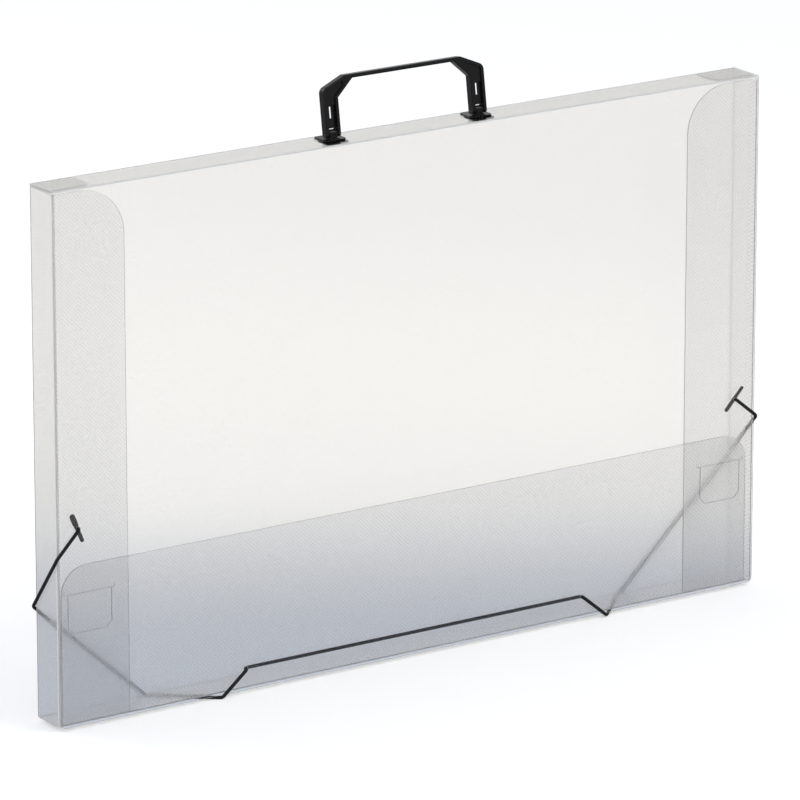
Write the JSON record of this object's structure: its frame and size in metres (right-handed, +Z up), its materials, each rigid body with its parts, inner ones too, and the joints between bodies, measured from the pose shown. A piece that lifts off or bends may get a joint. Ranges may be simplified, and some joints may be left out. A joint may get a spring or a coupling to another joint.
{
  "type": "portfolio case",
  "caption": "Slim translucent carrying case for drawings: a folded sheet tray, a hinged spine with a swivelling handle, a front cover and an elastic cord closure.",
  "frame": {"origin": "centre of the case's outline, at the underside of the two elastic runs that pass beneath it", "axes": "+X across the width to the right seen from the front, +Y from the cover to the back, +Z up, towards the handle"},
  "size_m": [0.5245, 0.031, 0.3757],
  "materials": {
    "clear_sheet": "translucent, finely hatched",
    "black_moulding": "satin moulded black",
    "end_bar": "smooth moulded black",
    "elastic_cord": "woven round elastic"
  },
  "bodies": {
    "tray": {"back_panel": "clear_sheet", "bottom_wall": "clear_sheet", "side_wall_left": "clear_sheet", "side_wall_right": "clear_sheet", "side_flap_left": "clear_sheet", "side_flap_right": "clear_sheet", "elastic_under_left": "elastic_cord", "elastic_under_right": "elastic_cord"},
    "spine": {"spine_panel": "clear_sheet", "handle_anchor_left": "black_moulding", "handle_anchor_right": "black_moulding"},
    "cover": {"front_cover": "clear_sheet", "end_bar_left": "end_bar", "end_bar_right": "end_bar", "elastic_middle": "elastic_cord", "elastic_corner_left": "elastic_cord", "elastic_corner_right": "elastic_cord"},
    "closing_flap": {"closing_flap": "clear_sheet"},
    "handle": {"handle": "black_moulding"},
    "tab_left": {"top_tab_left": "clear_sheet"},
    "tab_right": {"top_tab_right": "clear_sheet"}
  },
  "joints": [
    {"name": "spine_hinge", "type": "hinge", "parent": "tray", "child": "spine", "pos_m": [0, 0.01285, 0.33685], "axis": [-1, 0, 0], "range_deg": [0, 90]},
    {"name": "cover_hinge", "type": "hinge", "parent": "spine", "child": "cover", "pos_m": [0, -0.01285, 0.33685], "axis": [-1, 0, 0], "range_deg": [0, 90], "deforming": ["elastic_corner_left", "elastic_corner_right", "elastic_under_left", "elastic_under_right"]},
    {"name": "closing_flap_hinge", "type": "hinge", "parent": "tray", "child": "closing_flap", "pos_m": [0, -0.00945, 0.00265], "axis": [1, 0, 0], "range_deg": [0, 90]},
    {"name": "handle_swing", "type": "hinge", "parent": "spine", "child": "handle", "pos_m": [0, 0, 0.34145], "axis": [1, 0, 0], "range_deg": [-79.5, 96.5]},
    {"name": "tab_left_fold", "type": "hinge", "parent": "tray", "child": "tab_left", "pos_m": [-0.2596, 0, 0.33585], "axis": [0, 1, 0], "range_deg": [0, 45]},
    {"name": "tab_right_fold", "type": "hinge", "parent": "tray", "child": "tab_right", "pos_m": [0.2596, 0, 0.33585], "axis": [0, -1, 0], "range_deg": [0, 45]}
  ],
  "couplings": [
    {"joint": "closing_flap_hinge", "follows": "cover_hinge", "ratio": 1}
  ]
}
